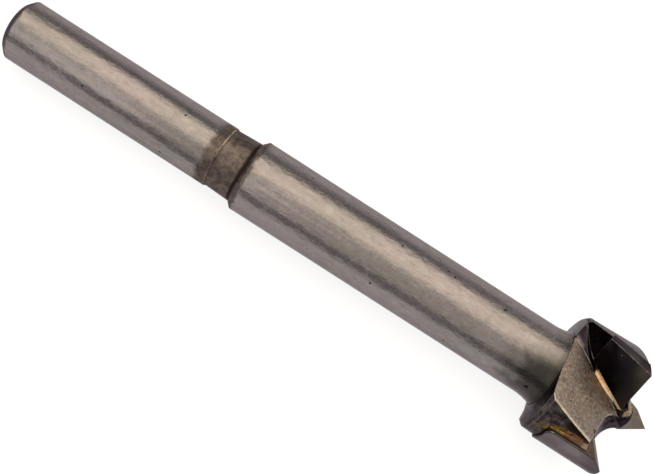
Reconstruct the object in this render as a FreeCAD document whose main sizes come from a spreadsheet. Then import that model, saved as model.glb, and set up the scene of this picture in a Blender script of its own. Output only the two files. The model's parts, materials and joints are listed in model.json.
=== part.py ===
"""Carbide-tipped forstner bit for hinge and dowel holes, lying as it comes to rest.

The steel is one turned and milled piece. Three carbide pieces are brazed into it: a radial
cutter that planes the floor of the hole, a scoring cutter that cuts its rim, and a flat
centre point. Every piece is modelled upright, in millimetres, with the end of the shank at
height 0 and the point at the top, and is then laid down. Seen along the axis, angles run
from the X direction towards Y, which is also the way that the bit turns.
"""
import FreeCAD, Part
import math
import os
import Sketcher

SIZES = {
    # Shank, neck and body, one behind the other along the axis
    "shank_diameter": 8.0,
    "shank_length": 29.4,
    "shank_chamfer": 0.7,
    "neck_rear_diameter": 7.7,
    "neck_front_diameter": 8.0,
    "neck_length": 3.6,
    "body_rear_diameter": 9.35,
    "body_front_diameter": 9.2,
    "body_length": 43.2,
    "body_chamfer": 0.55,
    "flare_rise": 0.4,
    "flare_length": 2.4,
    # Head, with a hollowed front face round a small boss
    "head_rear_diameter": 15.3,
    "head_front_diameter": 15.7,
    "head_length": 8.5,
    "back_dish": 0.3,
    "back_chamfer": 0.45,
    "boss_diameter": 3.3,
    "boss_height": 1.95,
    "hollow_radius": 3.05,
    # Gullets, each between the heel facet of one wing and the leading wall of the other
    "facet_angle": 52.6,
    "facet_lean": 17.5,
    "facet_distance": 4.28,
    "cutter_angle": 30.0,
    "cutter_rake": 17.4,
    "rear_wall_turn": -15.0,
    "gullet_overrun": 0.05,
    # Front relief, which falls away towards the heel of each wing
    "relief_lean": 20.0,
    "relief_sweep": 100.0,
    "relief_run_in": 8.0,
    "cutter_relief_angle": 40.0,
    "scorer_relief_angle": 165.0,
    # Radial cutter, in a curved slot sunk into the leading wall
    "cutting_diameter": 16.0,
    "edge_lead": 2.45,
    "edge_projection": 0.2,
    "cutter_thickness": 1.5,
    "cutter_length": 6.0,
    "cutter_clearance": 14.0,
    "cutter_front_inset": 1.75,
    "cutter_rear_inset": 4.35,
    "cutter_proud": 0.5,
    "step_front_inset": 1.6,
    "step_rear_inset": 6.8,
    "step_radius": 11.7,
    "chamfer_inset": 0.9,
    "chamfer_turn": -24.2,
    "chamfer_lean": 34.0,
    "chamfer_start": 5.6,
    "chamfer_floor": 0.05,
    # Scoring cutter
    "scorer_angle": 160.0,
    "scorer_width": 5.6,
    "scorer_thickness": 3.2,
    "scorer_length": 7.9,
    "scorer_lead": 1.6,
    "scorer_bevel": 36.0,
    "scorer_round": 1.0,
    "scorer_corner_width": 1.55,
    "scorer_corner_angle": 33.0,
    "scorer_gap_rear": 0.35,
    "scorer_gap_front": 1.3,
    # Centre point
    "point_turn": 15.0,
    "point_width": 3.4,
    "point_thickness": 1.5,
    "point_rise": 4.44,
    "point_depth": 4.0,
    "point_angle": 71.0,
    "point_relief": 12.0,
    # Braze
    "braze_film": 0.04,
    "bead_width": 0.5,
    "bead_length": 5.0,
    "fill_depth": 0.05,
    "meniscus_width": 0.75,
    "meniscus_height": 0.35,
}

# Heights along the axis and distances from it that several features share
SHOULDER = "(Sizes.shank_length + Sizes.neck_length)"
HEAD_REAR = f"({SHOULDER} + Sizes.body_length)"
HEAD_FRONT = f"({HEAD_REAR} + Sizes.head_length)"
BOSS_TOP = f"({HEAD_FRONT} + Sizes.boss_height)"
EDGE_HEIGHT = f"({HEAD_FRONT} + Sizes.edge_projection)"
SCORER_TIP = f"({EDGE_HEIGHT} + Sizes.scorer_lead)"
POINT_TIP = f"({HEAD_FRONT} + Sizes.point_rise)"
CUTTING_RADIUS = "(Sizes.cutting_diameter / 2)"
BOSS_RADIUS = "(Sizes.boss_diameter / 2)"
HOLLOW_EDGE = (
    f"({BOSS_RADIUS} + sqrt(Sizes.hollow_radius ^ 2"
    " - (Sizes.hollow_radius - Sizes.boss_height) ^ 2))"
)
SCORER_FLOOR = f"({CUTTING_RADIUS} - Sizes.scorer_thickness)"
SCORER_REAR = "(Sizes.scorer_lead - Sizes.scorer_length)"
SCORER_SIDE = "(Sizes.scorer_width / 2)"

# The radial cutter's seat, below the wall that leads its wing and behind its edge
CUTTER_FACING = "(Sizes.cutter_angle + 90)"
SEAT_DEPTH = "(Sizes.cutter_thickness - Sizes.cutter_proud)"
SEAT_LEAD = "(Sizes.edge_lead - Sizes.cutter_thickness / cos(Sizes.cutter_rake * 1deg))"
EDGE_RISE = "(Sizes.cutter_thickness * tan(Sizes.cutter_rake * 1deg))"
INNER_END_SLOPE = (
    "((Sizes.cutter_rear_inset - Sizes.cutter_front_inset) / Sizes.cutter_length)"
)

# Extent of the solids that stand for all of the space on one side of a cut
REACH = "(2 * Sizes.head_front_diameter)"
UPRIGHT = "rotation(vector(1; 0; 0); 90)"

# Side that faces the ground before the part settles, and how finely that is worked out
SIDE_DOWN = 270.0
ROLL_RANGE = 45.0
ROLL_STEP = 0.1
SAMPLING = 0.01

doc = FreeCAD.newDocument("ForstnerBit")


def make_sheet():
    """Put every driving size into a spreadsheet cell that carries its name."""
    cells = doc.addObject("Spreadsheet::Sheet", "Sizes")
    for row, (name, size) in enumerate(SIZES.items(), start=1):
        cells.set(f"A{row}", name)
        cells.set(f"B{row}", str(size))
        cells.setAlias(f"B{row}", name)
    doc.recompute()
    return cells


sheet = make_sheet()


def value(expression):
    """The number that an expression gives with the sheet as it stands."""
    result = sheet.evalExpression(expression)
    return float(getattr(result, "Value", result))


def about(axis, angle):
    """An expression for a rotation about x, y or z."""
    unit = {"x": "1; 0; 0", "y": "0; 1; 0", "z": "0; 0; 1"}[axis]
    return f"rotation(vector({unit}); {angle})"


def placed(point, *turns):
    """An expression for a placement at a point, turned by a chain of rotations."""
    return f"placement(vector({'; '.join(point)}); {' * '.join(turns)})"


def polar(distance, angle, height):
    """A point given by its distance from the axis, its angle and its height."""
    return f"{distance} * cos(({angle}) * 1deg)", f"{distance} * sin(({angle}) * 1deg)", height


def pin(sketch, expression, kind, *ends):
    """Add a dimension to a sketch and bind it to an expression."""
    index = sketch.addConstraint(Sketcher.Constraint(kind, *ends, value(expression)))
    sketch.setExpression(f"Constraints[{index}]", expression)


def circle_arc(start, finish, radius, anticlockwise):
    """The minor arc between two points, which a sketch always stores anticlockwise."""
    chord = finish - start
    left = FreeCAD.Vector(-chord.y, chord.x, 0).normalize()
    reach = math.sqrt(radius ** 2 - chord.Length ** 2 / 4)
    centre = (start + finish) / 2 + left * (reach if anticlockwise else -reach)
    first, last = (start, finish) if anticlockwise else (finish, start)
    angles = [math.atan2(point.y - centre.y, point.x - centre.x) for point in (first, last)]
    return Part.ArcOfCircle(Part.Circle(centre, FreeCAD.Vector(0, 0, 1), radius), *angles)


def draw(sketch, corners, arcs):
    """Draw a closed outline and pin its corners, and the radii of its arcs, to the sheet.

    arcs maps the number of a side to its radius and to whether it runs anticlockwise.
    """
    points = [FreeCAD.Vector(value(across), value(up), 0) for across, up in corners]
    count = len(corners)
    ends = []
    for side in range(count):
        start = points[side]
        finish = points[(side + 1) % count]
        if side in arcs:
            radius, anticlockwise = arcs[side]
            sketch.addGeometry(circle_arc(start, finish, value(radius), anticlockwise))
            ends.append((1, 2) if anticlockwise else (2, 1))
        else:
            sketch.addGeometry(Part.LineSegment(start, finish))
            ends.append((1, 2))
    for side, (across, up) in enumerate(corners):
        following = (side + 1) % count
        first, last = ends[side]
        joint = Sketcher.Constraint("Coincident", side, last, following, ends[following][0])
        sketch.addConstraint(joint)
        pin(sketch, across, "DistanceX", -1, 1, side, first)
        pin(sketch, up, "DistanceY", -1, 1, side, first)
    for side, (radius, _) in arcs.items():
        pin(sketch, radius, "Radius", side)


def extruded(name, corners, height, placement, arcs=None, symmetric=False):
    """A closed outline drawn flat, extruded along its normal and then placed."""
    outline = doc.addObject("Sketcher::SketchObject", f"{name}_outline")
    draw(outline, corners, arcs or {})
    solid = doc.addObject("Part::Extrusion", name)
    solid.Base = outline
    solid.DirMode = "Normal"
    solid.Solid = True
    solid.Symmetric = symmetric
    solid.setExpression("LengthFwd", height)
    solid.setExpression("Placement", placement)
    return solid


def half_space(name, placement):
    """A disc wide and tall enough to cut away all of the head above its base."""
    disc = doc.addObject("Part::Cylinder", name)
    disc.setExpression("Radius", REACH)
    disc.setExpression("Height", REACH)
    disc.setExpression("Placement", placement)
    return disc


def pillar(name, radius, height):
    """An upright cylinder about the axis, from the end of the shank."""
    cylinder = doc.addObject("Part::Cylinder", name)
    cylinder.setExpression("Radius", radius)
    cylinder.setExpression("Height", height)
    return cylinder


def common(name, first, second):
    """What two solids share."""
    shared = doc.addObject("Part::Common", name)
    shared.Base = first
    shared.Tool = second
    return shared


def fused(name, *solids):
    """Several solids as one."""
    union = doc.addObject("Part::MultiFuse", name)
    union.Shapes = solids
    return union


def cut(name, base, *tools):
    """A solid with one or more others taken away."""
    remainder = doc.addObject("Part::Cut", name)
    remainder.Base = base
    remainder.Tool = tools[0] if len(tools) == 1 else fused(f"{name}_tools", *tools)
    return remainder


def turned_blank():
    """Shank, neck, body, head and boss, turned from one bar."""
    body = doc.addObject("PartDesign::Body", "turned_blank")
    planes = [plane for plane in body.Origin.OriginFeatures if plane.Role == "XZ_Plane"]
    outline = body.newObject("Sketcher::SketchObject", "turned_outline")
    outline.AttachmentSupport = [(planes[0], "")]
    outline.MapMode = "FlatFace"
    neck_step = "(Sizes.shank_diameter - Sizes.neck_rear_diameter) / 2"
    corners = [
        ("0", "0"),
        ("Sizes.shank_diameter / 2 - Sizes.shank_chamfer", "0"),
        ("Sizes.shank_diameter / 2", "Sizes.shank_chamfer"),
        ("Sizes.shank_diameter / 2", "Sizes.shank_length"),
        ("Sizes.neck_rear_diameter / 2", f"Sizes.shank_length + {neck_step}"),
        ("Sizes.neck_front_diameter / 2", SHOULDER),
        ("Sizes.body_rear_diameter / 2 - Sizes.body_chamfer", SHOULDER),
        ("Sizes.body_rear_diameter / 2", f"{SHOULDER} + Sizes.body_chamfer"),
        ("Sizes.body_front_diameter / 2", f"{HEAD_REAR} - Sizes.flare_length"),
        ("Sizes.body_front_diameter / 2 + Sizes.flare_rise", HEAD_REAR),
        ("Sizes.head_rear_diameter / 2 - Sizes.back_chamfer", f"{HEAD_REAR} + Sizes.back_dish"),
        ("Sizes.head_rear_diameter / 2", f"{HEAD_REAR} + Sizes.back_dish + Sizes.back_chamfer"),
        ("Sizes.head_front_diameter / 2", HEAD_FRONT),
        (HOLLOW_EDGE, HEAD_FRONT),
        (BOSS_RADIUS, BOSS_TOP),
        ("0", BOSS_TOP),
    ]
    flare_radius = "(Sizes.flare_length ^ 2 + Sizes.flare_rise ^ 2) / (2 * Sizes.flare_rise)"
    draw(outline, corners, {8: (flare_radius, False), 13: ("Sizes.hollow_radius", False)})
    blank = body.newObject("PartDesign::Revolution", "turning")
    blank.Profile = outline
    blank.ReferenceAxis = (outline, ["V_Axis"])
    blank.Angle = 360
    body.Tip = blank
    return body


def seat_frame(turn="0", depth="0"):
    """Frame of the cutter's seat: x runs inwards along the edge, y forwards, z ahead."""
    facing = f"({CUTTER_FACING} + {turn})"
    turns = (about("z", f"({facing} + 90)"), about("x", "(90 + Sizes.cutter_rake)"))
    frame = placed(polar(SEAT_LEAD, facing, EDGE_HEIGHT), *turns)
    return f"{frame} * {placed(('0', EDGE_RISE, depth), about('z', '0'))}"


def gullet(name, turn, wall_turn):
    """The open notch between the heel facet of one wing and the leading wall of the other."""
    facet_angle = f"(Sizes.facet_angle + {turn})"
    facet = half_space(f"{name}_facet", placed(
        polar("Sizes.facet_distance", facet_angle, HEAD_REAR),
        about("z", f"({facet_angle} + 90)"), about("x", "(90 - Sizes.facet_lean)"),
    ))
    wall = half_space(f"{name}_wall", seat_frame(wall_turn, SEAT_DEPTH))
    floor = f"({HEAD_REAR} - Sizes.gullet_overrun)"
    head = half_space(f"{name}_floor", placed(("0", "0", floor), about("z", "0")))
    return common(name, common(f"{name}_notch", facet, wall), head)


def cutter_slot():
    """The curved slot over the radial cutter's seat, out to the rim and through the back."""
    run = "((Sizes.head_length + Sizes.edge_projection) / cos(Sizes.cutter_rake * 1deg))"
    corners = [
        ("-Sizes.step_front_inset", REACH),
        ("-Sizes.step_front_inset", "0"),
        ("-Sizes.step_rear_inset", f"-{run}"),
        ("-Sizes.step_rear_inset", f"-{REACH}"),
        (f"-{REACH}", f"-{REACH}"),
        (f"-{REACH}", REACH),
    ]
    step = {1: ("Sizes.step_radius", False)}
    return extruded("cutter_slot", corners, REACH, seat_frame(), step)


def slot_chamfer():
    """The slanted face between the heel facet and the rear end of the slot's step."""
    depth = f"({SEAT_DEPTH} - Sizes.chamfer_floor)"
    corners = [
        ("0", "0"),
        ("0", REACH),
        (f"-{REACH}", REACH),
        (f"-{REACH}", f"-{depth}"),
        (f"-{depth} / tan(Sizes.chamfer_lean * 1deg)", f"-{depth}"),
    ]
    across = f"placement(vector(-Sizes.chamfer_inset; 0; 0); {about('z', 'Sizes.chamfer_turn')})"
    rearwards = placed(("0", "-Sizes.chamfer_start", "0"), UPRIGHT)
    frame = f"{seat_frame('0', SEAT_DEPTH)} * {across} * {rearwards}"
    return extruded("slot_chamfer", corners, REACH, frame)


def front_relief(name, angle):
    """Form ground into a wing's front, which falls from one radius towards the heel."""
    top = "(Sizes.boss_height + Sizes.point_rise)"
    corners = [
        (BOSS_RADIUS, top),
        (BOSS_RADIUS, "Sizes.boss_height"),
        (HOLLOW_EDGE, "0"),
        (REACH, "0"),
        (REACH, top),
    ]
    outline = doc.addObject("Sketcher::SketchObject", f"{name}_outline")
    draw(outline, corners, {1: ("Sizes.hollow_radius", True)})
    sweep = doc.addObject("Part::Revolution", name)
    sweep.Source = outline
    sweep.Axis = FreeCAD.Vector(0, -1, 0)
    sweep.Solid = True
    sweep.setExpression("Angle", "Sizes.relief_sweep + Sizes.relief_run_in")
    sweep.setExpression("Placement", placed(
        ("0", "0", HEAD_FRONT), about("z", angle), about("x", "Sizes.relief_lean"),
        about("z", "Sizes.relief_run_in"), UPRIGHT,
    ))
    return sweep


def scorer_frame(distance):
    """Frame of the scoring cutter: x runs the way the bit turns, y forwards, z outwards."""
    return placed(
        polar(distance, "Sizes.scorer_angle", EDGE_HEIGHT),
        about("z", "(Sizes.scorer_angle + 90)"), UPRIGHT,
    )


def scorer_pocket():
    """The recess in the rim of a wing that takes the scoring cutter and its braze."""
    corners = [
        (f"-{SCORER_SIDE} - Sizes.scorer_gap_rear", f"{SCORER_REAR} - Sizes.braze_film"),
        (f"{SCORER_SIDE} + Sizes.braze_film", f"{SCORER_REAR} - Sizes.braze_film"),
        (f"{SCORER_SIDE} + Sizes.braze_film", REACH),
        (f"-{SCORER_SIDE} - Sizes.scorer_gap_front", REACH),
        (f"-{SCORER_SIDE} - Sizes.scorer_gap_front", "-Sizes.edge_projection"),
    ]
    floor = f"({SCORER_FLOOR} - Sizes.braze_film)"
    return extruded("scorer_pocket", corners, REACH, scorer_frame(floor))


def upright_plate(name, clearance, thickness, top):
    """A plate across the axis, as wide as the centre point plus a clearance at each side."""
    side = f"(Sizes.point_width / 2 + {clearance})"
    foot = f"-(Sizes.point_depth + {clearance})"
    corners = [(f"-{side}", foot), (side, foot), (side, top), (f"-{side}", top)]
    frame = placed(("0", "0", HEAD_FRONT), about("z", "Sizes.point_turn"), UPRIGHT)
    return extruded(name, corners, thickness, frame, symmetric=True)


def point_slot():
    """The slot across the boss that holds the centre point, open at the front."""
    thickness = "(Sizes.point_thickness + 2 * Sizes.braze_film)"
    return upright_plate("point_slot", "Sizes.braze_film", thickness, REACH)


def inner_end(height):
    """Inset of the radial cutter's slanted inner end at a height above its edge."""
    return f"(Sizes.cutter_front_inset - {INNER_END_SLOPE} * ({height}))"


def cutter_plate():
    """The radial cutter before it is ground to the cutting circle and in front."""
    corners = [
        (f"-{inner_end('Sizes.cutter_thickness')}", "Sizes.cutter_thickness"),
        ("-Sizes.cutter_rear_inset", "-Sizes.cutter_length"),
        (f"-{REACH}", "-Sizes.cutter_length"),
        (f"-{REACH}", "Sizes.cutter_thickness"),
    ]
    return extruded("cutter_plate", corners, "Sizes.cutter_thickness", seat_frame())


def cutter_flank():
    """Half space in front of the radial cutter's edge and of the clearance behind it."""
    return half_space("cutter_flank", placed(
        polar("Sizes.edge_lead", CUTTER_FACING, EDGE_HEIGHT),
        about("z", CUTTER_FACING), about("y", "-Sizes.cutter_clearance"),
    ))


def scorer_block():
    """The scoring cutter before it is ground, its rear corner rounded on the trailing side."""
    corners = [
        (f"-{SCORER_SIDE} + Sizes.scorer_round", SCORER_REAR),
        (SCORER_SIDE, SCORER_REAR),
        (SCORER_SIDE, "Sizes.scorer_lead"),
        (f"-{SCORER_SIDE}", "Sizes.scorer_lead"),
        (f"-{SCORER_SIDE}", f"{SCORER_REAR} + Sizes.scorer_round"),
    ]
    rear_round = {4: ("Sizes.scorer_round", True)}
    return extruded("scorer_block", corners, REACH, scorer_frame(SCORER_FLOOR), rear_round)


def scorer_bevel():
    """Half space above the bevel that leads from the scoring edge towards the axis."""
    return half_space("scorer_bevel", placed(
        polar(CUTTING_RADIUS, "Sizes.scorer_angle", SCORER_TIP),
        about("z", "Sizes.scorer_angle"), about("y", "-Sizes.scorer_bevel"),
    ))


def scorer_corner():
    """Half space above the bevel's trailing end, which is ground further back."""
    edge = placed(polar(CUTTING_RADIUS, "Sizes.scorer_angle", SCORER_TIP),
                  about("z", "Sizes.scorer_angle"))
    start = f"(Sizes.scorer_corner_width - {SCORER_SIDE})"
    lean = placed(("0", start, "0"), about("y", "-Sizes.scorer_bevel"),
                  about("x", "Sizes.scorer_corner_angle"))
    return half_space("scorer_corner", f"{edge} * {lean}")


def point_lip(name, turn):
    """Half space beyond one lip of the centre point, relieved behind its cutting edge."""
    return half_space(name, placed(
        ("0", "0", POINT_TIP),
        about("z", f"(Sizes.point_turn + {turn})"),
        about("y", "(90 - Sizes.point_angle / 2)"),
        about("x", "Sizes.point_relief"),
    ))


def cutter_bead(slot):
    """Braze in the step beside the cutter's inner end, with a fillet up to its face."""
    start = inner_end("-Sizes.bead_length")
    corners = [
        ("0", "-Sizes.bead_length"),
        ("0", "Sizes.cutter_thickness"),
        (f"-{inner_end('Sizes.cutter_thickness')}", "Sizes.cutter_thickness"),
        (f"-{start}", "-Sizes.bead_length"),
    ]
    strip = extruded("bead_strip", corners, SEAT_DEPTH, seat_frame())
    fill = common("bead_fill", slot, strip)
    lean = f"atan({INNER_END_SLOPE})"
    along = placed(
        (f"-{start}", "-Sizes.bead_length", "0"), about("z", f"(180deg - {lean})"), UPRIGHT,
    )
    triangle = [("-Sizes.bead_width", "0"), ("0", "0"), ("0", "Sizes.cutter_proud")]
    run = f"((Sizes.bead_length + Sizes.cutter_thickness) / cos({lean}))"
    frame = f"{seat_frame('0', SEAT_DEPTH)} * {along}"
    return fused("cutter_bead", fill, extruded("bead_fillet", triangle, run, frame))


def meniscus():
    """Braze drawn up round the centre point on top of the boss."""
    cone = doc.addObject("Part::Cone", "meniscus")
    cone.setExpression("Radius1", f"{BOSS_RADIUS} - Sizes.braze_film")
    cone.setExpression("Radius2", f"{BOSS_RADIUS} - Sizes.meniscus_width")
    cone.setExpression("Height", "Sizes.meniscus_height")
    cone.setExpression("Placement", placed(("0", "0", BOSS_TOP), about("z", "0")))
    return cone


def build_pieces():
    """Steel, carbide and braze, all upright."""
    slot = cutter_slot()
    pocket = scorer_pocket()
    point_room = point_slot()
    cutter_relief = front_relief("cutter_wing_relief", "Sizes.cutter_relief_angle")
    scorer_relief = front_relief("scorer_wing_relief", "Sizes.scorer_relief_angle")
    steel = cut(
        "bit_body", turned_blank(),
        gullet("front_gullet", "0", "0"),
        gullet("rear_gullet", "180", "(180 + Sizes.rear_wall_turn)"),
        slot, slot_chamfer(), cutter_relief, scorer_relief, pocket, point_room,
    )

    cutting_circle = pillar("cutting_circle", CUTTING_RADIUS, f"({POINT_TIP} + {REACH})")
    plate = cutter_plate()
    flank = cutter_flank()
    block = scorer_block()
    blade = upright_plate("point_blade", "0", "Sizes.point_thickness", "Sizes.point_rise")
    radial_cutter = cut("radial_cutter", common("ground_plate", plate, cutting_circle), flank)
    scoring_cutter = cut(
        "scoring_cutter", common("ground_block", block, cutting_circle),
        scorer_bevel(), scorer_corner(),
    )
    centre_point = cut(
        "centre_point", blade, point_lip("point_lip", "0"), point_lip("point_far_lip", "180"),
    )

    cutter_braze = cut("cutter_braze", cutter_bead(slot), flank, cutter_relief)
    fill_radius = "(Sizes.head_front_diameter / 2 - Sizes.fill_depth)"
    scorer_fill = common("scorer_fill", pocket, pillar("fill_limit", fill_radius, HEAD_FRONT))
    scorer_braze = cut("scorer_braze", scorer_fill, block, scorer_relief)
    point_fill = common("point_fill", point_room, pillar("boss_limit", BOSS_RADIUS, BOSS_TOP))
    point_braze = cut("point_braze", fused("point_bead", point_fill, meniscus()), blade)
    return [
        steel, radial_cutter, scoring_cutter, centre_point,
        cutter_braze, scorer_braze, point_braze,
    ]


def resting_turns(pieces):
    """Roll and tilt at which the shank's end and two corners of the head touch the ground."""
    shank_radius = value("Sizes.shank_diameter / 2")
    heel = value("Sizes.shank_chamfer")
    shoulder = value(SHOULDER)
    points = [point for piece in pieces for point in piece.Shape.tessellate(SAMPLING)[0]]
    head = [point for point in points if point.z > shoulder]
    mass = sum(piece.Shape.Volume for piece in pieces)
    balance = FreeCAD.Vector()
    for piece in pieces:
        balance += piece.Shape.CenterOfGravity * (piece.Shape.Volume / mass)
    lowest = None
    for step in range(int(2 * ROLL_RANGE / ROLL_STEP) + 1):
        roll = SIDE_DOWN - ROLL_RANGE + step * ROLL_STEP
        down = FreeCAD.Vector(math.cos(math.radians(roll)), math.sin(math.radians(roll)), 0)
        slope = max((point.dot(down) - shank_radius) / (point.z - heel) for point in head)
        height = slope * (balance.z - heel) - balance.dot(down)
        if lowest is None or height < lowest[0]:
            lowest = (height, roll, math.degrees(math.atan(slope)))
    return lowest[1], lowest[2]


def lay_down(pieces):
    """Turn every piece alike on to the ground, and centre the whole over the origin."""
    roll, tilt = resting_turns(pieces)
    turn = FreeCAD.Rotation(FreeCAD.Vector(0, 1, 0), 90 - tilt).multiply(
        FreeCAD.Rotation(FreeCAD.Vector(0, 0, 1), -roll)
    )
    for piece in pieces:
        piece.Placement = FreeCAD.Placement(FreeCAD.Vector(), turn)
    doc.recompute()
    box = Part.makeCompound([piece.Shape for piece in pieces]).optimalBoundingBox(False, False)
    shift = FreeCAD.Vector(-box.Center.x, -box.Center.y, -box.ZMin)
    for piece in pieces:
        piece.Placement = FreeCAD.Placement(shift, turn)
    doc.recompute()
    print(f"roll {roll:.2f}, tilt {tilt:.3f} degrees")


def check_document(pieces):
    """Stop if any object failed, or if a piece is not one sound solid."""
    for item in doc.Objects:
        if "Invalid" in item.State or "Error" in item.State:
            raise RuntimeError(f"{item.Label} could not be built: {item.State}")
    for piece in pieces:
        shape = piece.Shape
        if shape.isNull() or not shape.isValid() or len(shape.Solids) != 1:
            raise RuntimeError(f"{piece.Label} is not one valid solid")


def export(pieces):
    """Write each piece to a file named after it."""
    os.makedirs("parts", exist_ok=True)
    for piece in pieces:
        piece.Shape.exportStep(f"parts/{piece.Label}.step")
        box = piece.Shape.BoundBox
        print(f"{piece.Label}: {piece.Shape.Volume:.2f} mm3, "
              f"x {box.XMin:.2f} to {box.XMax:.2f}, y {box.YMin:.2f} to {box.YMax:.2f}, "
              f"z {box.ZMin:.2f} to {box.ZMax:.2f}")


parts = build_pieces()
doc.recompute()
check_document(parts)
lay_down(parts)
check_document(parts)
export(parts)
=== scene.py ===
import json
import math

import bmesh
import bpy
from mathutils import Matrix, Vector


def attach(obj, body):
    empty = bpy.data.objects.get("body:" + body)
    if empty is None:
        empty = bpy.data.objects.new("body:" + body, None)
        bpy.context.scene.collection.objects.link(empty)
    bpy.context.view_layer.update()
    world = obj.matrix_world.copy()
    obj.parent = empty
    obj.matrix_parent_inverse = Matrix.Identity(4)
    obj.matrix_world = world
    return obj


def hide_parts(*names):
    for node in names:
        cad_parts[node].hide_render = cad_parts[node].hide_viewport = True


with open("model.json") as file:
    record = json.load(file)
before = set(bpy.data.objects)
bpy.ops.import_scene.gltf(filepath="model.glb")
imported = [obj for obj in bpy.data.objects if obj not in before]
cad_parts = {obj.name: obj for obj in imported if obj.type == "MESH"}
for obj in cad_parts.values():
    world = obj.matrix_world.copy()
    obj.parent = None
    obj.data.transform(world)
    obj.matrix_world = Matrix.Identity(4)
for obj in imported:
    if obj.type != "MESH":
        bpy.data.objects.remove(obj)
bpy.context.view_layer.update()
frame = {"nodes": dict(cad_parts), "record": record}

MM = 0.001

# Sizes of the bit in its own frame, in millimetres and degrees

SHANK_MOUNT = frame["record"]["mounts"][0]
ROLL = 249.60
SHANK_LENGTH = 29.4
SHANK_CHAMFER = 0.7
NECK_FRONT = 33.0
HEAD_REAR = 76.2
HEAD_FRONT = 84.7
HEAD_RADIUS = 7.7
FACET_ANGLES = (52.6, 232.6)
FACET_LEAN = 17.5
FACET_DISTANCE = 4.28
SEAT_ANGLE = 120.0
SEAT_RAKE = 17.4
CHAMFER_ANGLE = 89.3
CHAMFER_LEAN = -1.7
SCORER_ANGLE = 160.0
SCORER_SIDE = 2.8
SCORER_FRONT = 84.9

# Where marks, painted shade and painted highlights lie on the bit, in the same frame

PIT_PLACE = (-3.36, 3.16, 74.2)
SHADED_MOTTLED_SIDE = 118.0
SHADED_WING_SIDE = 128.0
WING_SIDE = 135.0
SMEAR_SIDE = 140.0
SMEAR_LEAN = 24.46
SMEAR_ACROSS = -2.95
SMEAR_HEIGHT = 79.0
SKIN_WIDTH = 0.95
SKIN_SLANT = 0.13
NECK_SHADE_SIDE = 150.0
TIP_HIGHLIGHT_SIDE = 50.0


def bit_matrix():
    """Place of the bit's own frame in the shared frame.

    In its own frame the bit stands on the end of its shank, and angles start from x.
    """
    axis = Vector(SHANK_MOUNT["axis"]).normalized() * -1
    half = SHANK_MOUNT["dims"]["length_mm"] / 2 + SHANK_CHAMFER
    end = Vector(SHANK_MOUNT["pos_m"]) - axis * half * MM
    tilt = math.asin(axis.z)
    turn = Matrix.Rotation(math.radians(90) - tilt, 4, "Y")
    roll = Matrix.Rotation(math.radians(-ROLL), 4, "Z")
    return Matrix.Translation(end) @ turn @ roll @ Matrix.Scale(MM, 4)


def direction(angle, lean=0.0):
    """Unit vector in the bit's frame at an angle about the axis, leaning forwards."""
    angle = math.radians(angle)
    lean = math.radians(lean)
    return Vector((math.cos(angle) * math.cos(lean), math.sin(angle) * math.cos(lean),
                   math.sin(lean)))


def link(name, data):
    """A new object in the scene."""
    thing = bpy.data.objects.new(name, data)
    bpy.context.scene.collection.objects.link(thing)
    return thing


BIT = bit_matrix()
SEAT_NORMAL = direction(SEAT_ANGLE, -SEAT_RAKE)
FACET_NORMALS = [direction(angle, FACET_LEAN) for angle in FACET_ANGLES]
CHAMFER_NORMAL = direction(CHAMFER_ANGLE, CHAMFER_LEAN)
SCORER_BACK = direction(SCORER_ANGLE - 90)
SCORER_AHEAD = direction(SCORER_ANGLE + 90)

# Camera, in degrees, millimetres and pixels of the photograph

FOCAL_PIXELS = 1008.3
FRAME_WIDTH = 654
FRAME_HEIGHT = 474
AXIS_SLOPE = 32.697
AXIS_TILT = 2.210
SHANK_END_PIXEL = (19.40, 27.75)
SHANK_END_DEPTH = 122.85
SENSOR_WIDTH = 36
CLIP_START = 1.0
CLIP_END = 10000.0


def make_camera():
    """The camera of the photograph, from where the end of the shank lies in its picture."""
    slope = math.radians(AXIS_SLOPE)
    tilt = math.radians(AXIS_TILT)
    along = Vector((math.cos(slope) * math.cos(tilt), math.sin(slope) * math.cos(tilt),
                    -math.sin(tilt)))
    towards = Vector((0, 0, -1))
    side = (towards - along * towards.dot(along)).normalized()
    up = side.cross(along)
    scale = SHANK_END_DEPTH / FOCAL_PIXELS
    end = Vector(((SHANK_END_PIXEL[0] - FRAME_WIDTH / 2) * scale,
                  (SHANK_END_PIXEL[1] - FRAME_HEIGHT / 2) * scale, SHANK_END_DEPTH))
    to_bit = Matrix((up, side, along))
    turn = BIT.to_quaternion().to_matrix()
    right, down, ahead = (turn @ to_bit.col[index] for index in range(3))
    data = bpy.data.cameras.new("camera")
    data.sensor_width = SENSOR_WIDTH
    data.lens = SENSOR_WIDTH * FOCAL_PIXELS / FRAME_WIDTH
    data.clip_start = CLIP_START * MM
    data.clip_end = CLIP_END * MM
    camera = link("camera", data)
    place = Matrix((right, -down, -ahead)).transposed().to_4x4()
    place.translation = BIT @ (to_bit @ -end)
    camera.matrix_world = place
    bpy.context.scene.camera = camera


# Floor and room

FLOOR_HALF = 3.0
FLOOR_COLOUR = (0.22, 0.22, 0.22)
FLOOR_GLOW = 0.82
ROOM_COLOUR = (1.0, 0.96, 1.0)
ROOM_STRENGTH = 0.33


def seen_directly(tree):
    """1 for a ray from the camera, and for one by way of metal or glass."""
    path = tree.nodes.new("ShaderNodeLightPath")
    seen = path.outputs["Is Camera Ray"]
    for name in ("Is Glossy Ray", "Is Transmission Ray"):
        either = tree.nodes.new("ShaderNodeMath")
        either.operation = "MAXIMUM"
        tree.links.new(seen, either.inputs[0])
        tree.links.new(path.outputs[name], either.inputs[1])
        seen = either.outputs[0]
    return seen


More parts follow.
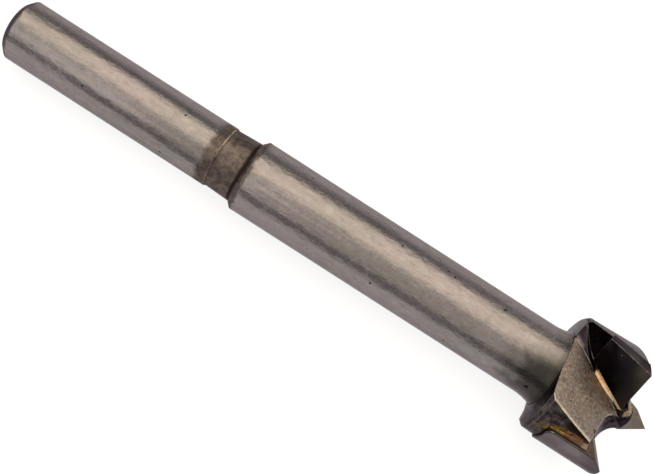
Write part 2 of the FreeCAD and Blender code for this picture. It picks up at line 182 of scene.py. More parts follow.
def floor_material():
    """Pale matt paper that shows white and still takes the object's shadow."""
    material = bpy.data.materials.new("floor")
    material.use_nodes = True
    tree = material.node_tree
    tree.nodes.clear()
    output = tree.nodes.new("ShaderNodeOutputMaterial")
    paper = tree.nodes.new("ShaderNodeBsdfDiffuse")
    paper.inputs["Color"].default_value = (*FLOOR_COLOUR, 1)
    glow = tree.nodes.new("ShaderNodeEmission")
    strength = tree.nodes.new("ShaderNodeMath")
    strength.operation = "MULTIPLY"
    strength.inputs[1].default_value = FLOOR_GLOW
    both = tree.nodes.new("ShaderNodeAddShader")
    tree.links.new(seen_directly(tree), strength.inputs[0])
    tree.links.new(strength.outputs[0], glow.inputs["Strength"])
    tree.links.new(paper.outputs[0], both.inputs[0])
    tree.links.new(glow.outputs[0], both.inputs[1])
    tree.links.new(both.outputs[0], output.inputs["Surface"])
    return material


def make_floor():
    """A square sheet under the bit."""
    mesh = bpy.data.meshes.new("floor")
    corners = [(-1, -1), (1, -1), (1, 1), (-1, 1)]
    mesh.from_pydata([(x * FLOOR_HALF, y * FLOOR_HALF, 0) for x, y in corners],
                     [], [(0, 1, 2, 3)])
    mesh.materials.append(floor_material())
    link("floor", mesh)


def make_world():
    """A plain grey room round the lamps."""
    world = bpy.data.worlds.new("studio")
    bpy.context.scene.world = world
    world.use_nodes = True
    room = world.node_tree.nodes["Background"]
    room.inputs["Color"].default_value = (*ROOM_COLOUR, 1)
    room.inputs["Strength"].default_value = ROOM_STRENGTH


# Lamps, in metres and degrees

LAMP_DISTANCE = 0.6
SKY_DISTANCE = 0.7
LAYER_GAP = 0.004
SOFT_STEPS = 4
LAMP_LENGTH = 2.0
SIDE_LENGTH = 0.62
SIDE_MIDDLE = -0.45
FACET_LAMP_WAY = (0.62, 0.72, 0.30)
FACET_LAMP_WIDTH = 44
FACET_LAMP_HEIGHT = 30


def lamp(name, back, across, size, radiance, colour, middle=0.0, distance=LAMP_DISTANCE):
    """A rectangular lamp that faces the object from a direction, moved along its own x."""
    data = bpy.data.lights.new(name, "AREA")
    data.shape = "RECTANGLE"
    data.size, data.size_y = size
    data.energy = radiance * math.pi * data.size * data.size_y
    data.color = colour
    turn = Matrix((across, back.cross(across), back)).transposed().to_4x4()
    turn.translation = back * distance + across * middle
    link(name, data).matrix_world = turn


def span(angle, distance=LAMP_DISTANCE):
    """Extent at a lamp's distance of an angle seen from the object."""
    return 2 * distance * math.tan(math.radians(angle / 2))


def soft_box(name, low, high, radiance, colour, fade=0.0, length=LAMP_LENGTH, middle=0.0,
             distance=LAMP_DISTANCE):
    """A lamp along x between two angles from the zenith to -y, its long edges fading.

    It fades in layers, one behind the other, because lamps in one plane hide each other.
    """
    angle = math.radians((low + high) / 2)
    back = Vector((0, -math.sin(angle), math.cos(angle)))
    steps = SOFT_STEPS if fade else 1
    for step in range(steps):
        layer = distance + step * LAYER_GAP
        width = span(high - low - 2 * fade * step / steps, layer)
        lamp(f"{name}_{step}", back, Vector((1, 0, 0)), (length, width),
             radiance / steps, colour, middle, layer)


def facet_panel():
    """A lamp low at the front, in the direction that the near heel facet reflects."""
    back = Vector(FACET_LAMP_WAY).normalized()
    across = Vector((0, 0, 1)).cross(back).normalized()
    size = (span(FACET_LAMP_WIDTH), span(FACET_LAMP_HEIGHT))
    lamp("facet_light", back, across, size, radiance=1.05, colour=(1.0, 0.95, 0.86))


def make_lights():
    """Long soft boxes above and beside the bit, and a panel at its front."""
    soft_box("sky_light", -50, 66, radiance=0.66, colour=(1.0, 0.93, 0.78),
             distance=SKY_DISTANCE)
    soft_box("key_light", -52, 20, radiance=1.42, colour=(1.0, 0.89, 0.70), fade=22)
    soft_box("side_light", 22, 72, radiance=0.72, colour=(1.0, 0.98, 0.94), fade=10,
             length=SIDE_LENGTH, middle=SIDE_MIDDLE)
    soft_box("rim_light", -88, -76, radiance=0.45, colour=(1.0, 0.96, 0.96))
    facet_panel()


# Node trees

# Sockets of the mix node for each kind of value: the two that go in, and the one that comes out
MIX_SOCKETS = {"FLOAT": (2, 3, 0), "RGBA": (6, 7, 2)}
# Way in which a seed moves the noise, so that no two noises with seeds of their own look alike
SEED_WAY = (1.0, 1.7, -1.0)
# Green of a metal at a grazing angle, as a share of its red and blue there
RIM_GREEN = 0.95


class Graph:
    """The node tree of one material, with short calls for the nodes that it uses."""

    def __init__(self, name):
        self.material = bpy.data.materials.new(name)
        self.material.use_nodes = True
        self.tree = self.material.node_tree
        self.tree.nodes.clear()
        self.bit = self.bit_position()
        self.x, self.y, self.z = self.node("ShaderNodeSeparateXYZ", Vector=self.bit).outputs

    def feed(self, socket, value):
        """Link a socket to another, or set it to a plain value."""
        if isinstance(value, bpy.types.NodeSocket):
            self.tree.links.new(value, socket)
        else:
            socket.default_value = value

    def node(self, kind, settings=None, **values):
        """A new node, with its settings, and its sockets fed by name."""
        made = self.tree.nodes.new(kind)
        for key, setting in (settings or {}).items():
            setattr(made, key, setting)
        for key, value in values.items():
            self.feed(made.inputs[key.replace("_", " ")], value)
        return made

    def bit_position(self):
        """Millimetres in the bit's own frame, from the shared frame's metres."""
        back = BIT.inverted()
        place = self.node("ShaderNodeTexCoord").outputs["Object"]
        mapping = self.node("ShaderNodeMapping", {"vector_type": "POINT"}, Vector=place)
        mapping.inputs["Location"].default_value = back.translation
        mapping.inputs["Rotation"].default_value = back.to_euler("XYZ")
        mapping.inputs["Scale"].default_value = [1 / MM] * 3
        return mapping.outputs[0]

    def math(self, operation, first, second=0.0):
        """One operation on one or two numbers."""
        made = self.node("ShaderNodeMath", {"operation": operation})
        self.feed(made.inputs[0], first)
        self.feed(made.inputs[1], second)
        return made.outputs[0]

    def fold(self, operation, values):
        """One operation carried through several values."""
        result = values[0]
        for value in values[1:]:
            result = self.math(operation, result, value)
        return result

    def plus(self, *terms):
        return self.fold("ADD", terms)

    def times(self, *factors):
        return self.fold("MULTIPLY", factors)

    def largest(self, *values):
        return self.fold("MAXIMUM", values)

    def minus(self, first, second):
        return self.math("SUBTRACT", first, second)

    def ramp(self, value, low, high, bottom=0.0, top=1.0):
        """Value carried smoothly from low..high to bottom..top, and held beyond."""
        made = self.node("ShaderNodeMapRange", {"interpolation_type": "SMOOTHSTEP"},
                         Value=value, From_Min=low, From_Max=high, To_Min=bottom, To_Max=top)
        return made.outputs[0]

    def fall(self, value, low, high):
        """1 below low, and smoothly down to 0 at high."""
        return self.ramp(value, low, high, 1.0, 0.0)

    def band(self, value, start, end):
        """1 from start to end, each a pair of levels between which it rises or falls."""
        return self.times(self.ramp(value, *start), self.fall(value, *end))

    def noise(self, scale, detail=4.0, roughness=0.55, stretch=(1, 1, 1), seed=0.0):
        """Noise with a number of grains a millimetre."""
        made = self.node("ShaderNodeMapping", Vector=self.bit)
        made.inputs["Location"].default_value = [seed * step for step in SEED_WAY]
        made.inputs["Scale"].default_value = stretch
        cloud = self.node("ShaderNodeTexNoise", Vector=made.outputs[0], Scale=scale,
                          Detail=detail, Roughness=roughness)
        return cloud.outputs["Fac"]

    def ragged(self, value, scale, reach, seed):
        """A value moved by noise over a reach, half of it either way."""
        swing = self.minus(self.noise(scale, seed=seed), 0.5)
        return self.plus(value, self.times(swing, reach))

    def measure(self, operation, vector):
        """A number from the surface's place and a fixed vector, both in the bit's frame."""
        made = self.node("ShaderNodeVectorMath", {"operation": operation})
        self.feed(made.inputs[0], self.bit)
        self.feed(made.inputs[1], vector)
        return made.outputs["Value"]

    def along(self, vector, offset=0.0):
        """Distance of the surface along a direction, beyond an offset."""
        return self.minus(self.measure("DOT_PRODUCT", vector), offset)

    def beyond(self, normal, point):
        """Distance of the surface beyond a plane through a point."""
        return self.along(normal, normal.dot(point))

    def mix(self, factor, first, second, kind="RGBA"):
        """A blend of two colours, or with the kind FLOAT of two numbers."""
        start, end, result = MIX_SOCKETS[kind]
        made = self.node("ShaderNodeMix", {"data_type": kind})
        self.feed(made.inputs[0], factor)
        for index, value in ((start, first), (end, second)):
            self.feed(made.inputs[index], (*value, 1) if isinstance(value, tuple) else value)
        return made.outputs[result]

    def bump(self, height, strength, distance, normal=None):
        """A bump over a distance in millimetres, on top of another one."""
        made = self.node("ShaderNodeBump", Height=height, Strength=strength,
                         Distance=distance * MM)
        if normal is not None:
            self.feed(made.inputs["Normal"], normal)
        return made.outputs[0]

    def metal(self, colour, roughness, normal, rim=0.5, share=1.0):
        """Finish the material; rim is how bright it stays at a grazing angle, share how metallic."""
        shader = self.node("ShaderNodeBsdfPrincipled", Base_Color=colour, Metallic=share,
                           Roughness=roughness, Normal=normal)
        shader.inputs["Specular Tint"].default_value = (rim, RIM_GREEN * rim, rim, 1)
        output = self.node("ShaderNodeOutputMaterial")
        self.tree.links.new(shader.outputs[0], output.inputs["Surface"])
        return self.material


# Measures on the bit

# Squares of the distances from the axis, in square millimetres, between which a mark fades
HOLLOW_EDGE = (30.0, 40.0)
WORN_BORDER = (54.0, 58.0)


def radius_squared(g):
    """Square of the distance from the axis."""
    return g.plus(g.times(g.x, g.x), g.times(g.y, g.y))


def facet_gap(g, angle):
    """Distance from the plane of a heel facet."""
    point = direction(angle) * FACET_DISTANCE + Vector((0, 0, HEAD_REAR))
    return g.math("ABSOLUTE", g.beyond(direction(angle, FACET_LEAN), point))


def past_scorer_side(g):
    """Distance past the scoring cutter's trailing side, and below 0 on the wing behind it."""
    return g.along(SCORER_AHEAD, -SCORER_SIDE)


# Steel

def ground_area(g):
    """1 on the ground shank and body, and 0 on the neck and at the end of the shank."""
    rear = g.ragged(g.z, 0.9, 0.9, 3.1)
    height = g.ragged(g.z, 0.9, 1.5, 3.1)
    shank = g.times(g.ramp(rear, SHANK_CHAMFER, SHANK_CHAMFER + 0.35),
                    g.fall(height, SHANK_LENGTH - 1.8, SHANK_LENGTH - 0.9))
    return g.largest(shank, g.ramp(height, NECK_FRONT + 0.7, NECK_FRONT + 1.2))


def ground_tone(g, grain, dapple):
    """Grey of the ground steel: clouded, streaked along the bit, dappled and speckled."""
    patches = g.noise(0.16, 3.0, 0.5, seed=7.0)
    streaks = g.noise(1.0, 4.0, 0.6, stretch=(2.4, 2.4, 0.16), seed=48.0)
    specks = g.ramp(g.noise(1.3, 1.0, 0.3, seed=23.0), 0.79, 0.82)
    tone = g.mix(g.ramp(patches, 0.38, 0.62), (0.232, 0.199, 0.203), (0.208, 0.188, 0.182))
    tone = g.mix(g.ramp(streaks, 0.42, 0.72, 0.0, 0.4), tone, (0.150, 0.130, 0.128))
    tone = g.mix(g.ramp(grain, 0.40, 0.75, 0.0, 0.45), tone, (0.290, 0.262, 0.250))
    tone = g.mix(g.ramp(grain, 0.26, 0.42, 0.3, 0.0), tone, (0.120, 0.100, 0.098))
    tone = g.mix(g.ramp(dapple, 0.52, 0.72, 0.0, 0.45), tone, (0.295, 0.268, 0.250))
    tone = g.mix(g.ramp(dapple, 0.30, 0.46, 0.45, 0.0), tone, (0.150, 0.126, 0.118))
    return g.mix(specks, tone, (0.03, 0.026, 0.026))


def flare_tone(g, tone):
    """The ground steel's tone, darker towards the head as painted shade, with painted shade in the
    gap at the head, black mottling on the shaded side that is partly painted shade, and one deep
    pit.
    """
    # Painted shade: the highlight fades to dark towards the head.
    shade = g.largest(g.ramp(g.z, HEAD_REAR - 3.0, HEAD_REAR, 0.0, 0.45),
                      g.ramp(g.z, HEAD_REAR - 1.2, HEAD_REAR - 0.4, 0.0, 0.75))
    tone = g.mix(shade, tone, (0.085, 0.072, 0.066))
    # Real mottling with painted shade: black mottling only on the side away from the light.
    side = g.ramp(g.along(direction(SHADED_MOTTLED_SIDE)), 2.6, 4.5)
    mottled = g.ramp(g.ragged(g.z, 0.6, 6.0, 50.0), HEAD_REAR - 7.5, HEAD_REAR - 2.0, 0.0, 0.9)
    # Painted shade in the gap between the body and the head.
    crevice = g.ramp(g.z, HEAD_REAR - 0.9, HEAD_REAR - 0.3)
    tone = g.mix(g.times(side, g.largest(mottled, crevice)), tone, (0.028, 0.026, 0.022))
    pit = g.fall(g.ragged(g.measure("DISTANCE", PIT_PLACE), 2.2, 0.8, 56.0), 0.20, 0.38)
    return g.mix(pit, tone, (0.008, 0.005, 0.006))


def unground_tone(g, stain):
    """Brown of the neck, with painted shade in the corner at its front, and grey at the end of the
    shank.
    """
    tone = g.mix(g.ramp(stain, 0.35, 0.65), (0.070, 0.053, 0.048), (0.132, 0.108, 0.095))
    # Painted shade in the corner where the neck meets the body.
    corner = g.band(g.z, (NECK_FRONT - 0.5, NECK_FRONT - 0.2),
                    (NECK_FRONT + 0.05, NECK_FRONT + 0.2))
    tone = g.mix(corner, tone, (0.020, 0.013, 0.012))
    end = g.fall(g.z, SHANK_CHAMFER - 0.1, SHANK_CHAMFER + 0.2)
    return g.mix(end, tone, (0.062, 0.052, 0.058))


def ground_steel():
    """Ground shank and body, with the neck and both ends of the grinding left brown."""
    g = Graph("ground_steel")
    ground = ground_area(g)
    grain = g.noise(3.6, 5.0, 0.7, seed=1.3)
    dapple = g.noise(1.5, 3.0, 0.6, stretch=(1.0, 1.0, 0.6), seed=22.0)
    stain = g.noise(1.5, 5.0, 0.6, seed=9.4)
    colour = g.mix(ground, unground_tone(g, stain), flare_tone(g, ground_tone(g, grain, dapple)))
    roughness = g.mix(ground, 0.46, g.ramp(grain, 0.3, 0.8, 0.22, 0.34), "FLOAT")

    marks = g.noise(1.0, 3.0, 0.6, stretch=(0.25, 0.25, 11.0), seed=4.7)
    waves = g.noise(0.5, 3.0, 0.5, stretch=(1.0, 1.0, 0.5), seed=21.0)
    rough = g.times(stain, g.minus(1.0, ground))
    normal = g.bump(g.times(marks, ground), 0.16, 0.010)
    normal = g.bump(waves, 0.35, 0.16, normal)
    normal = g.bump(dapple, 0.5, 0.09, normal)
    normal = g.bump(grain, 0.18, 0.014, normal)
    normal = g.bump(rough, 0.4, 0.08, normal)
    return g.metal(colour, roughness, normal, 0.6)


def facet_steel():
    """Milled heel facets: light, grainy and sparsely pitted, with an outer border pale from wear."""
    g = Graph("facet_steel")
    grain = g.noise(3.2, 6.0, 0.75, seed=2.2)
    cloud = g.noise(0.55, 4.0, 0.6, seed=5.9)
    streaks = g.noise(1.0, 4.0, 0.6, stretch=(3.2, 3.2, 0.5), seed=26.0)
    pits = g.ramp(g.noise(2.3, 2.0, 0.5, seed=11.0), 0.66, 0.72)
    wear_and_painted_light = g.ramp(g.ragged(radius_squared(g), 2.6, 5.0, 59.0), *WORN_BORDER, 0.0, 0.8)
    colour = g.mix(g.ramp(cloud, 0.35, 0.65), (0.138, 0.108, 0.096), (0.175, 0.146, 0.120))
    colour = g.mix(g.ramp(streaks, 0.4, 0.75, 0.0, 0.5), colour, (0.105, 0.080, 0.072))
    colour = g.mix(g.ramp(grain, 0.44, 0.70, 0.0, 0.85), colour, (0.37, 0.32, 0.275))
    colour = g.mix(pits, colour, (0.040, 0.030, 0.028))
    colour = g.mix(wear_and_painted_light, colour, (0.46, 0.41, 0.36))
    normal = g.bump(g.minus(grain, pits), 0.5, 0.05)
    return g.metal(colour, g.ramp(grain, 0.3, 0.8, 0.46, 0.60), normal)


def black_strip(g):
    """How black the strip of the wing beside the wide braze is, towards the front."""
    strip = g.band(past_scorer_side(g), (-2.6, -1.9), (-0.9, -0.6))
    return g.times(strip, g.ramp(g.along(direction(WING_SIDE)), 6.4, 7.0))


def smear(g):
    """Where the braze has run on to the wing, round the rear of the scoring cutter."""
    middle = SCORER_AHEAD * SMEAR_ACROSS + Vector((0, 0, SMEAR_HEIGHT))
    line = g.beyond(direction(SCORER_ANGLE + 90, SMEAR_LEAN), middle)
    gap = g.math("ABSOLUTE", g.ragged(line, 1.6, 0.9, 51.0))
    length = g.band(g.z, (HEAD_REAR + 0.7, HEAD_REAR + 2.3), (HEAD_REAR + 3.6, HEAD_REAR + 4.2))
    rim = g.ramp(g.along(direction(SMEAR_SIDE)), HEAD_RADIUS - 1.0, HEAD_RADIUS - 0.7)
    return g.times(g.fall(gap, 0.32, 0.60), length, rim)


def drops(g):
    """Orange drops of braze on the wing, along the wide fill."""
    edge = g.ragged(past_scorer_side(g), 2.6, 0.8, 55.0)
    beads = g.ramp(g.noise(3.4, 3.0, 0.6, seed=57.0), 0.42, 0.52)
    length = g.band(g.z, (HEAD_REAR + 3.5, HEAD_REAR + 4.1), (HEAD_FRONT - 1.8, HEAD_FRONT - 1.4))
    rim = g.ramp(g.along(direction(WING_SIDE)), 6.9, 7.2)
    return g.times(beads, g.ramp(edge, -1.30, -1.16), length, rim)


def wing_tone(g, grain, mottle):
    """Purple-grey of the head's rim, black on the wing's lower side as painted shade, with a black
    strip and braze stains at the scoring cutter.
    """
    cloud = g.noise(0.7, 4.0, 0.6, seed=31.0)
    pale = g.mix(g.ramp(cloud, 0.35, 0.68), (0.120, 0.106, 0.112), (0.185, 0.166, 0.172))
    black = g.mix(g.ramp(mottle, 0.38, 0.66), (0.018, 0.013, 0.012), (0.084, 0.068, 0.064))
    # Painted shade: the wing turns black on its side away from the light.
    wing_shade = g.ramp(g.ragged(g.along(direction(SHADED_WING_SIDE)), 0.5, 2.0, 52.0), 3.6, 5.6)
    tone = g.mix(wing_shade, pale, black)
    tone = g.mix(g.ramp(grain, 0.5, 0.78, 0.0, 0.4), tone, (0.17, 0.15, 0.135))
    strip = g.ramp(g.z, HEAD_REAR + 2.9, HEAD_REAR + 4.2, 0.0, black_strip(g))
    tone = g.mix(strip, tone, (0.016, 0.011, 0.009))
    gold = g.mix(g.ramp(mottle, 0.40, 0.58), (0.075, 0.046, 0.012), (0.150, 0.092, 0.015))
    tone = g.mix(smear(g), tone, gold)
    orange = g.mix(g.ramp(grain, 0.4, 0.6), (0.17, 0.055, 0.018), (0.14, 0.082, 0.045))
    return g.mix(drops(g), tone, orange)


def hollow_tone(g, tone, mottle):
    """A tone under the dark purple of the hollow and boss, a heat tint deepened as painted shade,
    which is spotted, and with a painted highlight in tan at one side.
    """
    front = g.ramp(g.z, HEAD_FRONT - 1.0, HEAD_FRONT - 0.6)
    hollow = g.times(front, g.fall(radius_squared(g), *HOLLOW_EDGE))
    # Dark purple heat tint, deepened as painted shade in the hollow.
    purple = g.mix(g.ramp(mottle, 0.44, 0.62), (0.010, 0.006, 0.010), (0.058, 0.044, 0.052))
    tone = g.mix(hollow, tone, purple)
    spots = g.ramp(g.noise(2.4, 4.0, 0.6, seed=33.0), 0.61, 0.68, 0.0, 0.8)
    tone = g.mix(g.times(hollow, spots), tone, (0.11, 0.09, 0.030))
    # Painted highlight: tan at the front of the boss, on the side that catches the light.
    tip_highlight = g.times(g.ramp(g.z, HEAD_FRONT + 0.8, HEAD_FRONT + 1.1),
                  g.ramp(g.along(direction(TIP_HIGHLIGHT_SIDE)), 1.38, 1.58))
    return g.mix(tip_highlight, tone, (0.33, 0.255, 0.175))


def dull_steel():
    """Rim, back and front of the head, purple-grey, with painted shade on the wing and at the boss,
    and stained by braze.
    """
    g = Graph("dull_steel")
    grain = g.noise(4.6, 5.0, 0.7, seed=30.0)
    mottle = g.noise(1.3, 5.0, 0.65, seed=32.0)
    colour = hollow_tone(g, wing_tone(g, grain, mottle), mottle)
    return g.metal(colour, g.ramp(grain, 0.3, 0.8, 0.32, 0.46), g.bump(grain, 0.35, 0.04), 0.6)


def shaded_slot_steel(name, low, high):
    """Walls of the radial cutter's slot, in dark colours that are painted shade, and paler at the
    facet's rear as painted light.
    """
    g = Graph(name)
    grain = g.noise(3.0, 5.0, 0.7, seed=36.0)
    colour = g.mix(g.ramp(grain, 0.42, 0.8), low, high)
    gap = g.ragged(facet_gap(g, FACET_ANGLES[0]), 2.4, 0.3, 60.0)
    # Painted light: paler near the top of the slot, next to the facet's rear.
    wear_and_painted_light = g.times(g.ramp(gap, 0.05, 0.50, 0.9, 0.0),
                   g.fall(g.z, HEAD_REAR + 1.2, HEAD_REAR + 1.8))
    colour = g.mix(wear_and_painted_light, colour, (0.19, 0.155, 0.165))
    return g.metal(colour, g.ramp(grain, 0.3, 0.8, 0.4, 0.55), g.bump(grain, 0.4, 0.05), 0.15)


def dull_edge_tone(g, wear):
    """Grey of the steel's corners, with painted shade in the gap behind the head, dark heat tint and
    painted shade at the boss, and darker along the neck.
    """
    tone = g.mix(g.ramp(wear, 0.35, 0.7), (0.06, 0.05, 0.052), (0.14, 0.125, 0.125))
    # Painted shade in the gap behind the head.
    behind = g.band(g.z, (HEAD_REAR - 0.4, HEAD_REAR - 0.2), (HEAD_REAR + 0.1, HEAD_REAR + 0.3))
    tone = g.mix(behind, tone, (0.03, 0.024, 0.024))
    # Dark heat tint at the boss, deepened as painted shade.
    boss = g.ramp(g.z, HEAD_FRONT + 0.1, HEAD_FRONT + 0.3)
    tone = g.mix(boss, tone, (0.018, 0.013, 0.015))
    neck = g.band(g.z, (SHANK_LENGTH + 0.1, SHANK_LENGTH + 0.16),
                  (NECK_FRONT + 0.1, NECK_FRONT + 0.2))
    return g.mix(neck, tone, (0.045, 0.034, 0.030))


def facet_edges(g):
    """1 on the corners that bound a heel facet, short of its rear and front ends."""
    near = g.largest(*(g.fall(facet_gap(g, angle), 0.06, 0.16) for angle in FACET_ANGLES))
    return g.times(near, g.band(g.z, (HEAD_REAR + 0.1, HEAD_REAR + 0.5),
                                (HEAD_FRONT - 0.4, HEAD_FRONT - 0.1)))


def neck_highlight(g):
    """A broken painted highlight on the shank's corner at the neck, weaker on one side as painted
    shade.
    """
    corner = g.band(g.z, (SHANK_LENGTH - 0.2, SHANK_LENGTH - 0.1),
                    (SHANK_LENGTH + 0.1, SHANK_LENGTH + 0.16))
    side = g.ramp(g.along(direction(NECK_SHADE_SIDE)), 1.2, 3.0, 1.0, 0.3)
    broken = g.ramp(g.noise(1.3, 3.0, 0.6, seed=58.0), 0.38, 0.54)
    return g.times(corner, side, broken)


def edge_steel():
    """Corners of the steel, rubbed bright along the heel facets, with a painted highlight at the
    neck, and dull elsewhere.
    """
    g = Graph("edge_steel")
    wear = g.noise(2.2, 5.0, 0.7, seed=6.6)
    rubbed = g.mix(g.ramp(wear, 0.35, 0.65), (0.24, 0.21, 0.18), (0.50, 0.45, 0.39))
    colour = g.mix(facet_edges(g), dull_edge_tone(g, wear), rubbed)
    # Painted highlight on the shank's corner at the neck.
    colour = g.mix(neck_highlight(g), colour, (0.30, 0.235, 0.150))
    return g.metal(colour, g.ramp(wear, 0.3, 0.8, 0.46, 0.32), g.bump(wear, 0.4, 0.04))


# Carbide

def satin_carbide(name, low, high, lines_colour, front=None):
    """Ground carbide with faint lines from the wheel, and if asked another colour at its front, used
    as painted shade.
    """
    g = Graph(name)
    lines = g.noise(1.0, 4.0, 0.7, stretch=(7.0, 7.0, 0.9), seed=8.8)
    cloud = g.noise(0.6, 3.0, 0.5, seed=38.0)
    specks = g.ramp(g.noise(3.1, 1.0, 0.4, seed=12.5), 0.77, 0.83)
    colour = g.mix(g.ramp(cloud, 0.35, 0.65), low, high)
    colour = g.mix(g.ramp(lines, 0.4, 0.8, 0.0, 0.6), colour, lines_colour)
    if front:
        # Painted shade: darker towards the front, where the flank mirrors the floor's shadow.
        ahead = g.ramp(g.z, HEAD_FRONT - 1.9, HEAD_FRONT + 0.5, 0.0, 0.85)
        colour = g.mix(ahead, colour, front)
    colour = g.mix(specks, colour, (0.30, 0.29, 0.29))
    return g.metal(colour, g.ramp(lines, 0.3, 0.7, 0.26, 0.38), g.bump(lines, 0.3, 0.012), 0.5)


def polished_carbide():
    """Rake face of the radial cutter, nearly black as a painted dark reflection, with a few bright
    specks.
    """
    g = Graph("polished_carbide")
    cloud = g.noise(0.5, 3.0, 0.5, seed=40.0)
    specks = g.ramp(g.noise(2.7, 1.0, 0.4, seed=41.0), 0.79, 0.83)
    ahead = g.ramp(g.z, HEAD_FRONT - 2.2, HEAD_FRONT - 0.1)
    # Painted dark reflection: colours far darker than carbide, for the dark surroundings that the
    # face mirrors.
    colour = g.mix(ahead, (0.012, 0.009, 0.011), (0.042, 0.034, 0.030))
    colour = g.mix(g.ramp(cloud, 0.4, 0.7, 0.0, 0.6), colour, (0.020, 0.017, 0.017))
    colour = g.mix(specks, colour, (0.20, 0.21, 0.22))
    return g.metal(colour, g.ramp(cloud, 0.3, 0.7, 0.18, 0.26), g.bump(cloud, 0.12, 0.03), 0.15)


def edge_carbide(name, low, high):
    """Ground corners of the carbide, where they catch a little light."""
    g = Graph(name)
    wear = g.noise(2.6, 4.0, 0.6, seed=14.0)
    colour = g.mix(g.ramp(wear, 0.35, 0.7), low, high)
    return g.metal(colour, 0.32, g.bump(wear, 0.3, 0.02))


# Braze

def finish_braze(g, colour, pitted, share=1.0):
    """Flowed surface of a braze, with gas holes where their noise passes a level."""
    flow = g.noise(1.5, 4.0, 0.6, seed=18.0)
    tarnish = g.noise(1.6, 5.0, 0.65, seed=16.0)
    holes = g.ramp(g.noise(1.7, 1.0, 0.4, seed=17.0), pitted, pitted + 0.04)
    colour = g.mix(holes, colour, (0.03, 0.02, 0.018))
    roughness = g.ramp(tarnish, 0.3, 0.7, 0.28, 0.46)
    return g.metal(colour, roughness, g.bump(g.minus(flow, holes), 0.7, 0.12), share=share)


def seam_braze():
    """Seam along the radial cutter: black at the rear as painted shade, then orange, tan, and yellow
    at the front.
    """
    g = Graph("seam_braze")
    tone = g.ramp(g.noise(2.6, 4.0, 0.65, seed=15.0), 0.42, 0.58)
    orange = g.mix(tone, (0.96, 0.44, 0.17), (1.0, 0.78, 0.52))
    tan = g.mix(tone, (0.97, 0.62, 0.32), (1.0, 0.86, 0.66))
    colour = g.mix(g.ramp(g.z, HEAD_FRONT - 3.5, HEAD_FRONT - 2.3), orange, tan)
    colour = g.mix(g.ramp(g.z, HEAD_FRONT - 1.3, HEAD_FRONT - 0.3), colour, (1.0, 0.70, 0.24))
    # Painted shade: black at the rear, in the shadow of the plate's edge.
    rear = g.fall(g.ragged(g.z, 2.5, 0.5, 53.0), HEAD_FRONT - 4.5, HEAD_FRONT - 4.2)
    colour = g.mix(rear, colour, (0.05, 0.03, 0.025))
    return finish_braze(g, colour, 0.76, 0.1)


def fill_edge(g):
    """Distance past the ragged line where the fill's brown skin starts, narrower to the rear."""
    slant = g.times(g.minus(SCORER_FRONT, g.z), -SKIN_SLANT)
    return g.ragged(g.plus(past_scorer_side(g), SKIN_WIDTH, slant), 1.8, 0.8, 44.0)


def fill_braze():
    """Wide fill beside the scoring cutter: gold and orange at the wing, brown beyond."""
    g = Graph("fill_braze")
    tone = g.noise(2.0, 4.0, 0.6, seed=54.0)
    orange = g.mix(g.ramp(tone, 0.4, 0.6), (0.15, 0.044, 0.015), (0.16, 0.090, 0.050))
    gold = g.mix(g.ramp(tone, 0.4, 0.6), (0.10, 0.065, 0.014), (0.19, 0.125, 0.035))
    skin = g.mix(g.ramp(tone, 0.35, 0.65), (0.060, 0.040, 0.027), (0.105, 0.072, 0.052))
    run = g.mix(g.ramp(g.z, HEAD_REAR + 3.7, HEAD_REAR + 4.7), gold, orange)
    colour = g.mix(g.ramp(fill_edge(g), -0.1, 0.15), run, skin)
    tan = g.ramp(g.z, HEAD_FRONT - 2.3, HEAD_FRONT - 1.8)
    colour = g.mix(tan, colour, (0.27, 0.195, 0.135))
    inside = g.fall(g.along(direction(WING_SIDE)), 6.8, 7.1)
    colour = g.mix(inside, colour, (0.05, 0.035, 0.03))
    side = g.ramp(past_scorer_side(g), -0.32, -0.12)
    colour = g.mix(side, colour, (0.022, 0.013, 0.010))
    front = g.ramp(g.z, HEAD_FRONT - 0.9, HEAD_FRONT - 0.5)
    colour = g.mix(front, colour, (0.045, 0.032, 0.028))
    return finish_braze(g, colour, 0.74)


def boss_braze():
    """Dark skin round the centre point, with tan and yellow-green where it is thin."""
    g = Graph("boss_braze")
    spots = g.ramp(g.noise(1.7, 4.0, 0.6, seed=46.0), 0.50, 0.60)
    colour = g.mix(spots, (0.034, 0.024, 0.024), (0.20, 0.155, 0.075))
    return finish_braze(g, colour, 0.72)


# Zones, which name the finish of a face from its centre and normal in the bit's frame

POCKET_FRONT = HEAD_FRONT - 1.7
POCKET_RADIUS = HEAD_RADIUS - 0.35
GULLET_FLOOR = HEAD_REAR - 0.1
# Cosines past which a normal counts as alike or as facing forwards, and below which as square
ALIKE = 0.98
FORWARDS = 0.3
SQUARE = 0.12


def steel_zone(centre, normal):
    """Ground, milled, dull, or dark in the radial cutter's slot."""
    if centre.z < GULLET_FLOOR:
        return "ground"
    if max(normal.dot(facet) for facet in FACET_NORMALS) > ALIKE:
        return "facet"
    in_slot = centre.z < POCKET_FRONT and centre.to_2d().length < POCKET_RADIUS
    if in_slot and normal.dot(SEAT_NORMAL) > ALIKE:
        return "pocket"
    if in_slot and (normal.dot(CHAMFER_NORMAL) > ALIKE or abs(normal.dot(SEAT_NORMAL)) < SQUARE):
        return "wall"
    return "dull"


def plate_zone(_, normal):
    """The radial cutter's rake face is polished."""
    return "rake" if normal.dot(SEAT_NORMAL) > ALIKE else "flank"


def block_zone(_, normal):
    """The scoring cutter's trailing side is dark, and its ground front is bright."""
    if normal.dot(SCORER_BACK) > ALIKE:
        return "trailing"
    return "front" if normal.z > FORWARDS else "flank"


def point_zone(*_):
    """The centre point has one finish."""
    return "flank"


# Pieces

WELD_DISTANCE = 1e-7
FLAT_ANGLE = math.radians(0.6)
CORNER_ANGLE = math.radians(28)
ROUND_SEGMENTS = 2


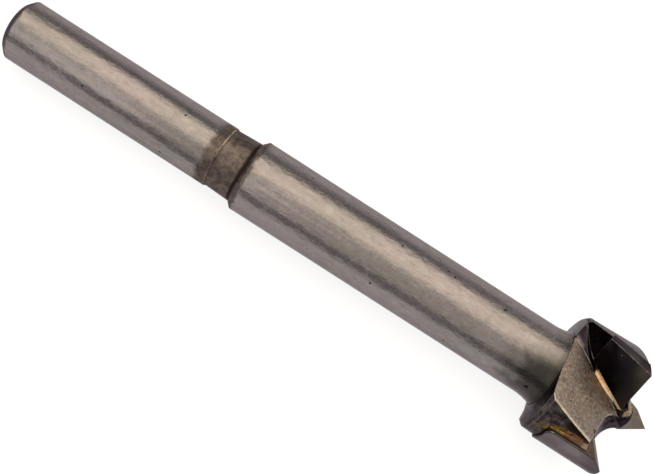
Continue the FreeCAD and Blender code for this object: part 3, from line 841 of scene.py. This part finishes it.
def rounded(name, node, finishes, zone, width):
    """A CAD piece with its corners rounded over, and its finishes by zone.

    The finish named edge is for the rounds, which have a width in millimetres.
    """
    mesh = frame["nodes"][node].data.copy()
    mesh.name = name
    mesh.materials.clear()
    for material in finishes.values():
        mesh.materials.append(material)
    number = {finish: index for index, finish in enumerate(finishes)}
    shape = bmesh.new()
    shape.from_mesh(mesh)
    bmesh.ops.remove_doubles(shape, verts=shape.verts, dist=WELD_DISTANCE)
    bmesh.ops.dissolve_limit(shape, angle_limit=FLAT_ANGLE, verts=shape.verts, edges=shape.edges)
    turn = BIT.to_quaternion().to_matrix().inverted()
    back = BIT.inverted()
    for face in shape.faces:
        face.smooth = True
        face.material_index = number[zone(back @ face.calc_center_median(), turn @ face.normal)]
    shape.to_mesh(mesh)
    shape.free()
    piece = link(name, mesh)
    bevel = piece.modifiers.new("rounded", "BEVEL")
    bevel.width = width * MM
    bevel.segments = ROUND_SEGMENTS
    bevel.limit_method = "ANGLE"
    bevel.angle_limit = CORNER_ANGLE
    bevel.material = number["edge"]
    bevel.use_clamp_overlap = False
    bevel.harden_normals = True
    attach(piece, "root")
    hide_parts(node)


def make_body():
    """The steel, from the shank to the head."""
    finishes = {
        "ground": ground_steel(),
        "edge": edge_steel(),
        "facet": facet_steel(),
        "dull": dull_steel(),
        # The slot's floor and walls get near-black colours as painted shade.
        "pocket": shaded_slot_steel("shaded_pocket_steel", (0.002, 0.001, 0.002), (0.012, 0.008, 0.010)),
        "wall": shaded_slot_steel("shaded_wall_steel", (0.021, 0.015, 0.020), (0.050, 0.039, 0.046)),
    }
    rounded("steel_body", "bit_body", finishes, steel_zone, width=0.07)


def make_plate(edges):
    """The radial cutter."""
    finishes = {
        "flank": satin_carbide("plate_flank", (0.030, 0.023, 0.025), (0.050, 0.041, 0.043),
                               (0.066, 0.058, 0.060)),
        "edge": edges,
        "rake": polished_carbide(),
    }
    rounded("floor_cutter", "radial_cutter", finishes, plate_zone, width=0.04)


def make_block():
    """The scoring cutter."""
    finishes = {
        # The last colour is painted shade towards the front of the flank.
        "flank": satin_carbide("block_flank", (0.120, 0.099, 0.104), (0.155, 0.132, 0.136),
                               (0.19, 0.17, 0.17), (0.080, 0.067, 0.072)),
        "edge": edge_carbide("block_edges", (0.014, 0.009, 0.007), (0.045, 0.036, 0.031)),
        "trailing": satin_carbide("block_side", (0.036, 0.026, 0.020), (0.055, 0.041, 0.033),
                                  (0.068, 0.054, 0.045)),
        "front": satin_carbide("block_front", (0.12, 0.108, 0.099), (0.17, 0.155, 0.144),
                               (0.21, 0.195, 0.185)),
    }
    rounded("rim_cutter", "scoring_cutter", finishes, block_zone, width=0.05)


def make_point(edges):
    """The centre point."""
    finishes = {
        "flank": satin_carbide("spike_carbide", (0.130, 0.110, 0.098), (0.175, 0.152, 0.138),
                               (0.22, 0.20, 0.18)),
        "edge": edges,
    }
    rounded("centre_spike", "centre_point", finishes, point_zone, width=0.04)


def make_pieces():
    """The steel and carbide with rounded corners, and the braze as it is with new finishes."""
    make_body()
    edges = edge_carbide("plate_edges", (0.055, 0.048, 0.050), (0.17, 0.16, 0.16))
    make_plate(edges)
    make_block()
    make_point(edges)
    seams = {
        "cutter_braze": seam_braze(),
        "scorer_braze": fill_braze(),
        "point_braze": boss_braze(),
    }
    for node, material in seams.items():
        frame["nodes"][node].material_slots[0].material = material


make_camera()
make_floor()
make_world()
make_lights()
make_pieces()
bpy.context.scene.view_settings.view_transform = "Standard"
